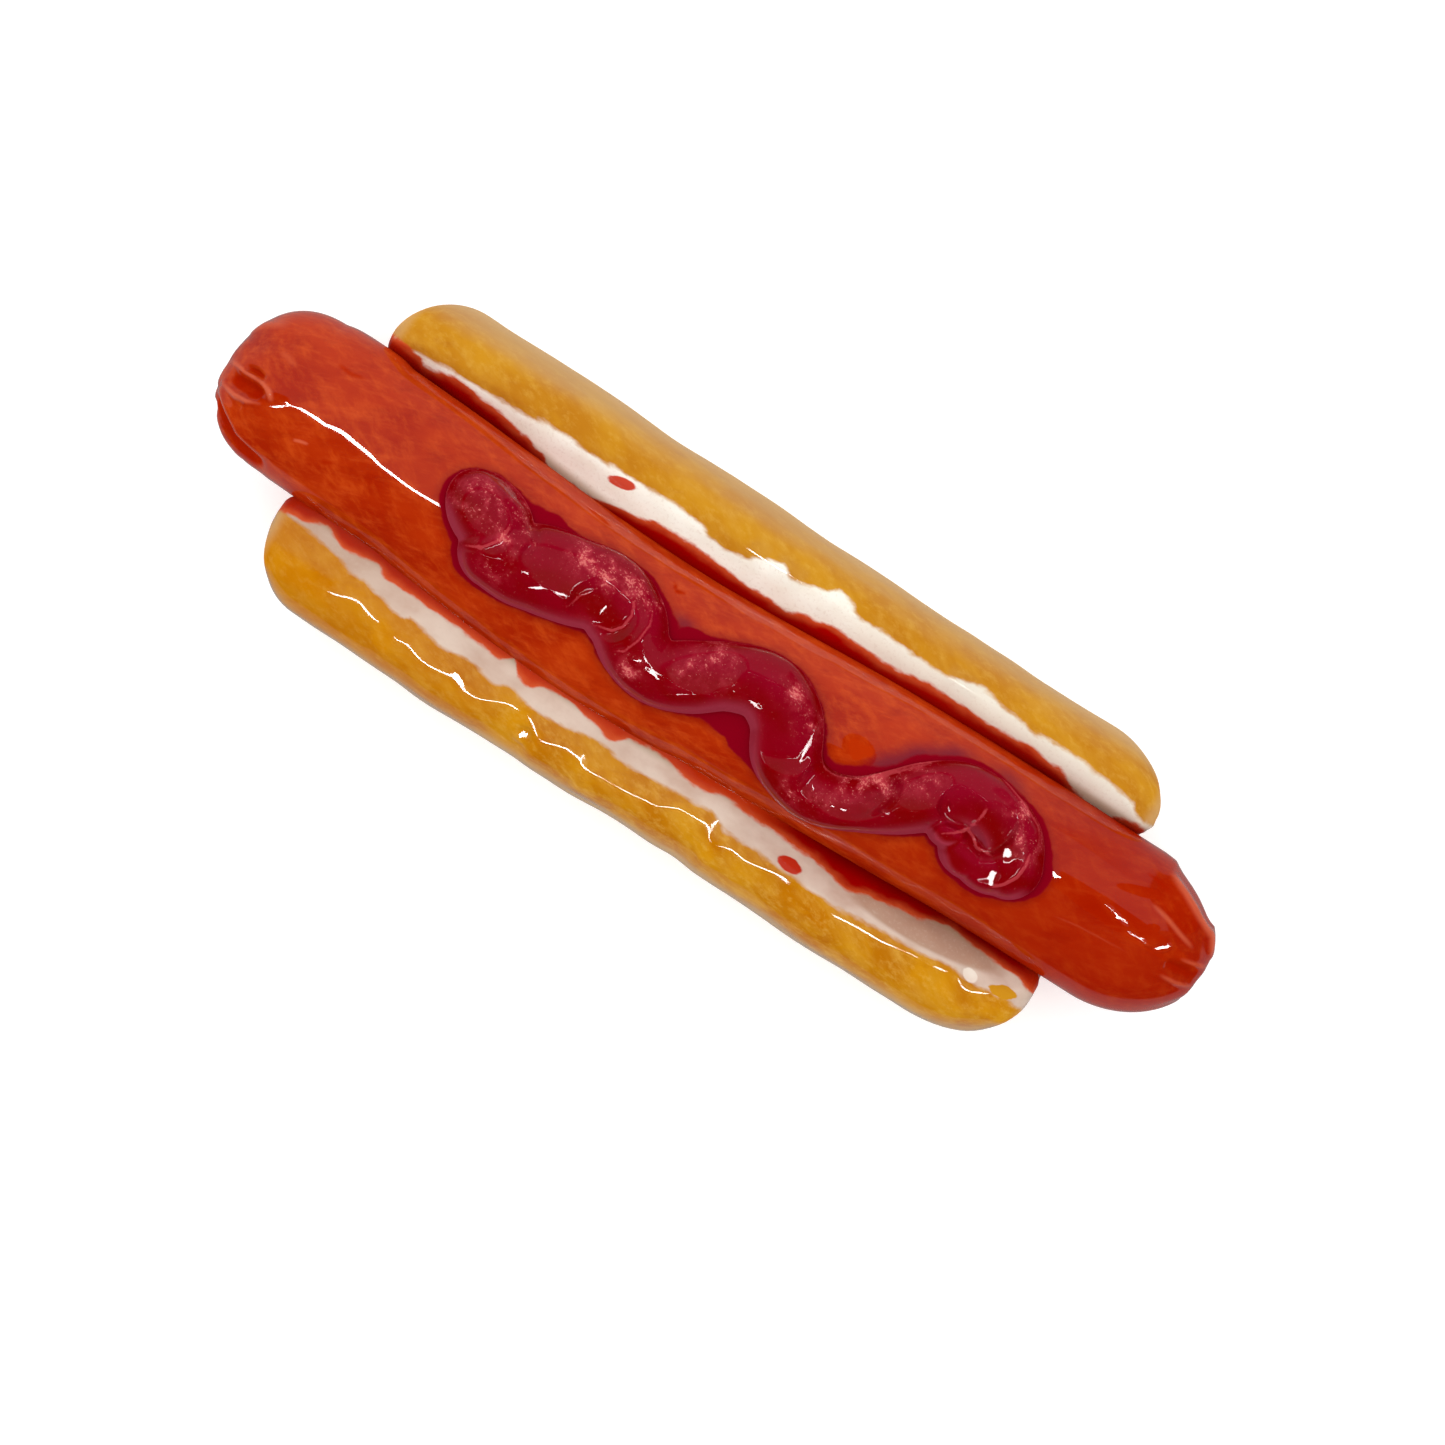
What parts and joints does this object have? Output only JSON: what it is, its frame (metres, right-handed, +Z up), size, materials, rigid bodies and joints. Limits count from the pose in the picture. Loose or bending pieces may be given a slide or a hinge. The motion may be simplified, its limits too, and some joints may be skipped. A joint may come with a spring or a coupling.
{
  "type": "ceramic hot dog",
  "caption": "Life-size glazed ceramic hot dog: a split bun, a long sausage pressed into it and a wavy rope of ketchup along the top. Lies on its flat foot.",
  "frame": {"origin": "centre of the underside of the whole object's box, on the surface that it lies on", "axes": "+X along the sausage towards the end where the ketchup hooks back, +Y across it, +Z up"},
  "size_m": [0.1783, 0.0578, 0.0399],
  "materials": {
    "bun_glaze": "ochre brushed over the crust, white on the cut faces, under a thick clear gloss glaze",
    "sausage_glaze": "brushed orange red under a thick clear gloss glaze",
    "ketchup_glaze": "deep raspberry red, paler along the ridges, under a thick clear gloss glaze"
  },
  "bodies": {
    "root": {"bun": "bun_glaze", "sausage": "sausage_glaze", "ketchup": "ketchup_glaze"}
  },
  "joints": []
}
